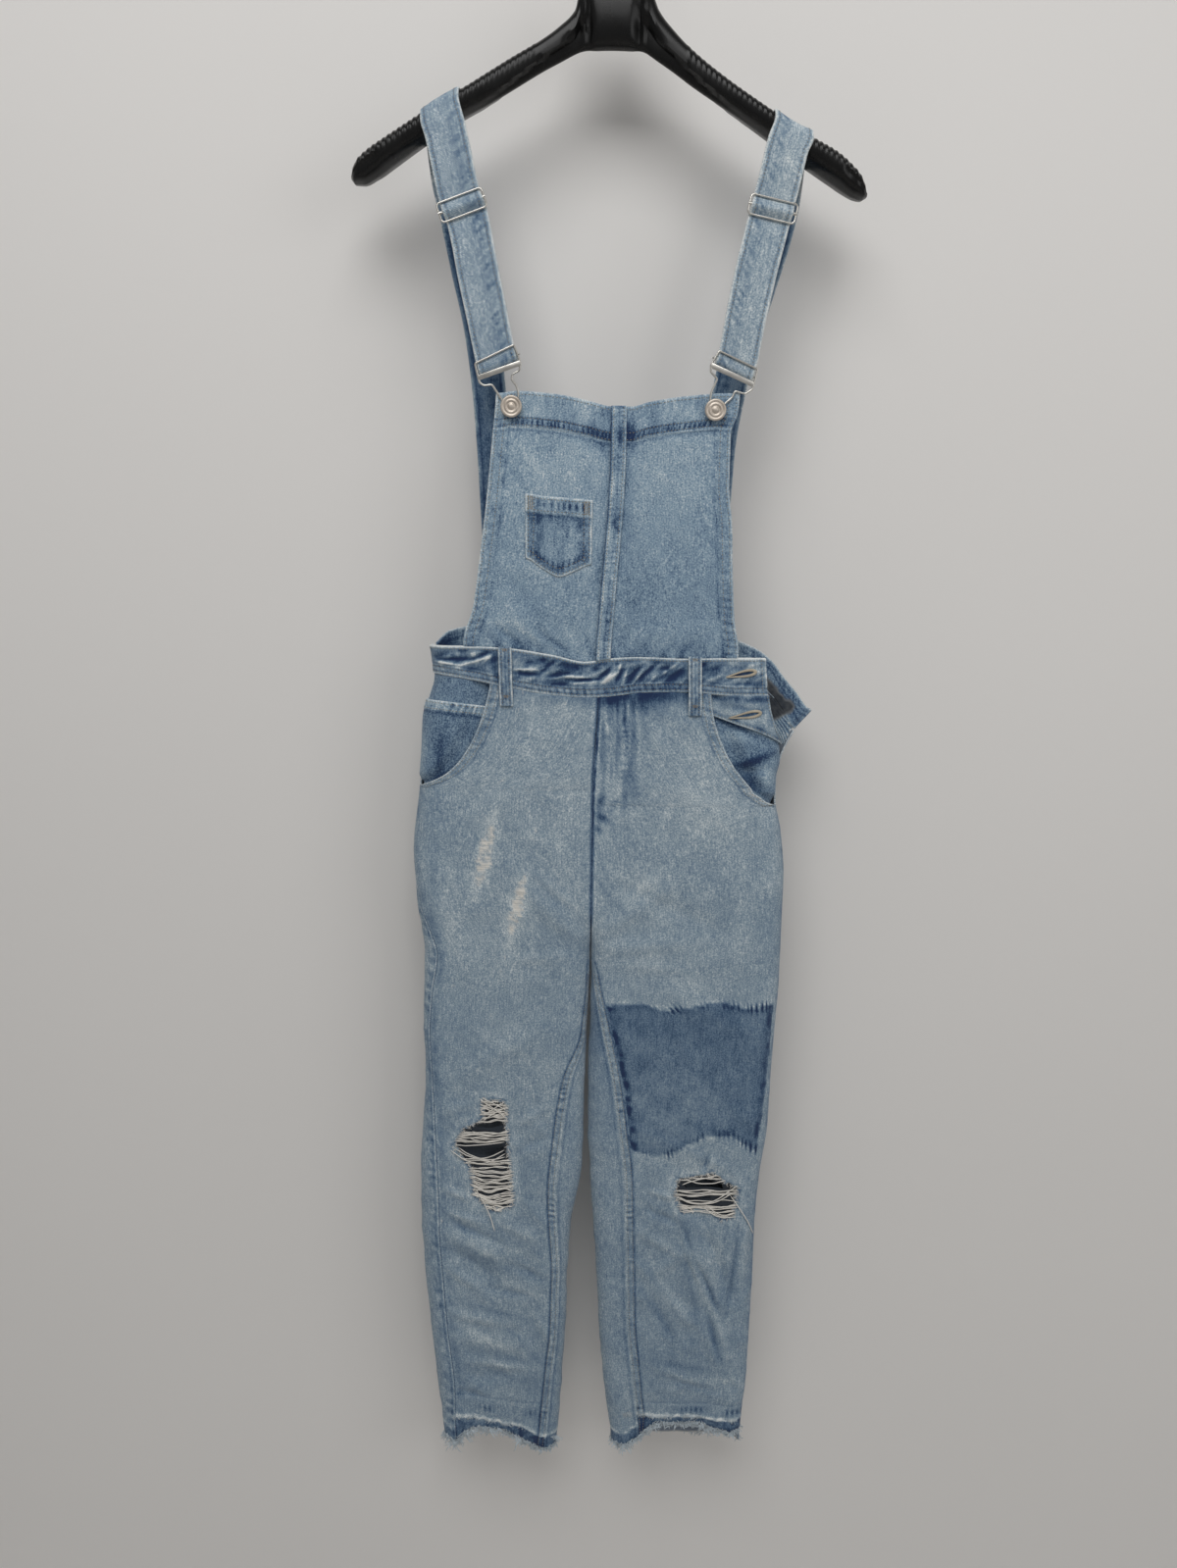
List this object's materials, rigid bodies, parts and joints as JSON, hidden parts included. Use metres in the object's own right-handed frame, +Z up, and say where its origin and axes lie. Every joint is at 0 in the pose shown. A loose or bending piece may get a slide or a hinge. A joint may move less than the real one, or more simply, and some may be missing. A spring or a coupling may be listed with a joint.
{
  "type": "denim dungarees (bib overalls) on a coat hanger",
  "caption": "Light-wash distressed denim dungarees with slim straight cropped legs, hanging by buckled shoulder straps from a black moulded coat hanger.",
  "frame": {"origin": "underside of the hanger hook's crown, where a rail carries it, midway between the garment's front and back", "axes": "+Z up, +X towards the wearer's left (the viewer's right), the garment's front faces -Y"},
  "size_m": [0.447, 0.0473, 1.4865],
  "materials": {
    "light_denim": "washed cotton twill, light grey-blue with worn white edges",
    "blue_denim": "washed cotton twill, a clearer blue",
    "black_plastic": "satin",
    "nickel": "satin nickel plate"
  },
  "bodies": {
    "root": {"front_leg_right": "light_denim", "front_leg_left": "light_denim", "back_leg_right": "light_denim", "back_leg_left": "light_denim", "side_placket": "light_denim", "waistband_front": "light_denim", "waistband_back": "light_denim", "belt_loop_right": "light_denim", "belt_loop_left": "light_denim", "strap_right": "light_denim", "strap_left": "light_denim", "bib_right": "blue_denim", "bib_left": "blue_denim", "bib_centre_strip": "blue_denim", "bib_pocket": "blue_denim", "hip_facing_right": "blue_denim", "hip_facing_left": "blue_denim", "coin_pocket": "blue_denim", "slide_right": "nickel", "slide_left": "nickel", "buckle_right": "nickel", "buckle_left": "nickel", "bib_button_right": "nickel", "bib_button_left": "nickel", "side_button_waist": "nickel", "side_button_hip": "nickel", "hanger_hook": "nickel", "hanger_body": "black_plastic"}
  },
  "joints": []
}
